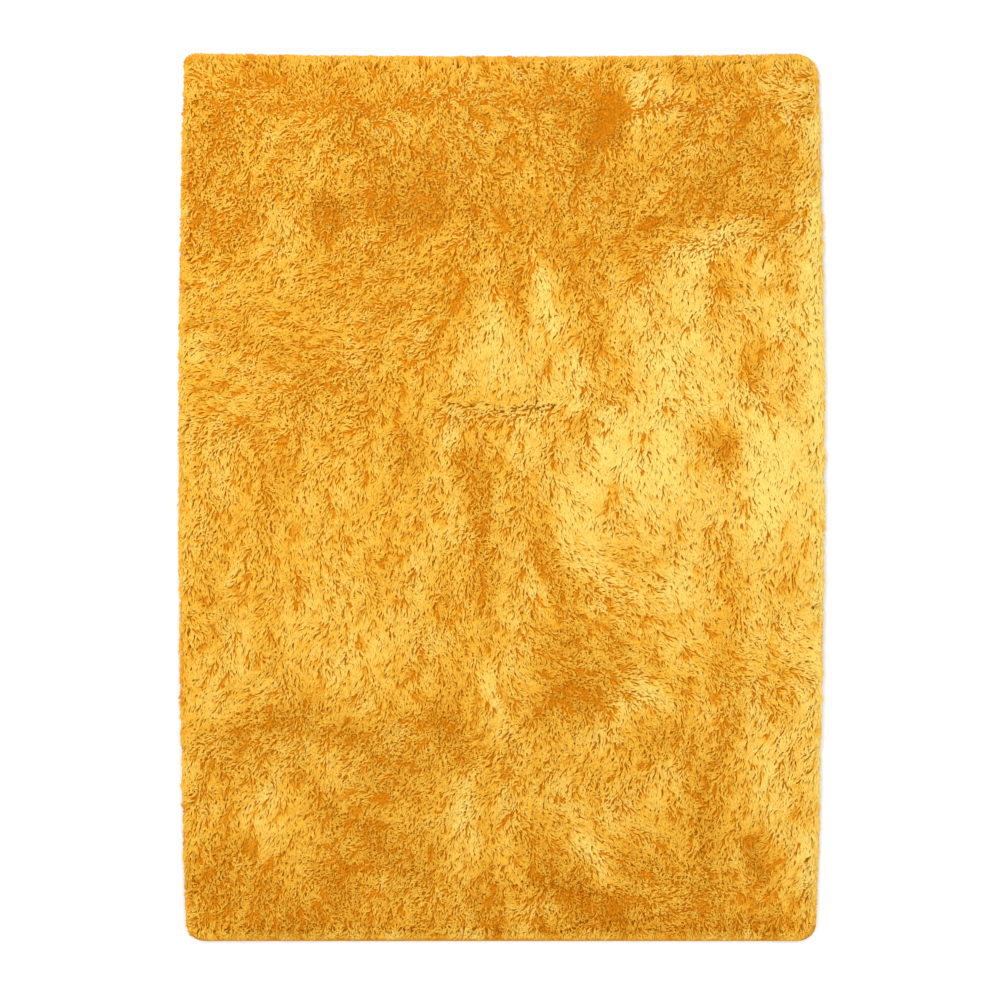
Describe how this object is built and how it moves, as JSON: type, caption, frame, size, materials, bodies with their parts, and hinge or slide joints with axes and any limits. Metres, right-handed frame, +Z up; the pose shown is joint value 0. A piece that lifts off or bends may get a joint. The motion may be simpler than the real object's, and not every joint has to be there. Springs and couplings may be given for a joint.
{
  "type": "shag rug",
  "caption": "Rectangular floor rug with round corners: a woven ground cloth with long, soft cut pile that leans over a narrow tape bound round its edge.",
  "frame": {"origin": "on the floor, under the middle of the rug", "axes": "+X across the rug, +Y along it towards its head, +Z up from the floor"},
  "size_m": [1.5999, 2.2, 0.035],
  "materials": {
    "pile_yarn": "soft cut pile of dyed polyester yarn in golden yellow, brushed into locks, matte with a faint sheen along the lay",
    "ground_cloth": "plain woven cotton and polyester cloth, matte",
    "binding_tape": "dyed twill tape, smooth and matte, darker than the pile"
  },
  "bodies": {
    "root": {"pile": "pile_yarn", "ground_cloth": "ground_cloth", "edge_binding": "binding_tape"}
  },
  "joints": []
}
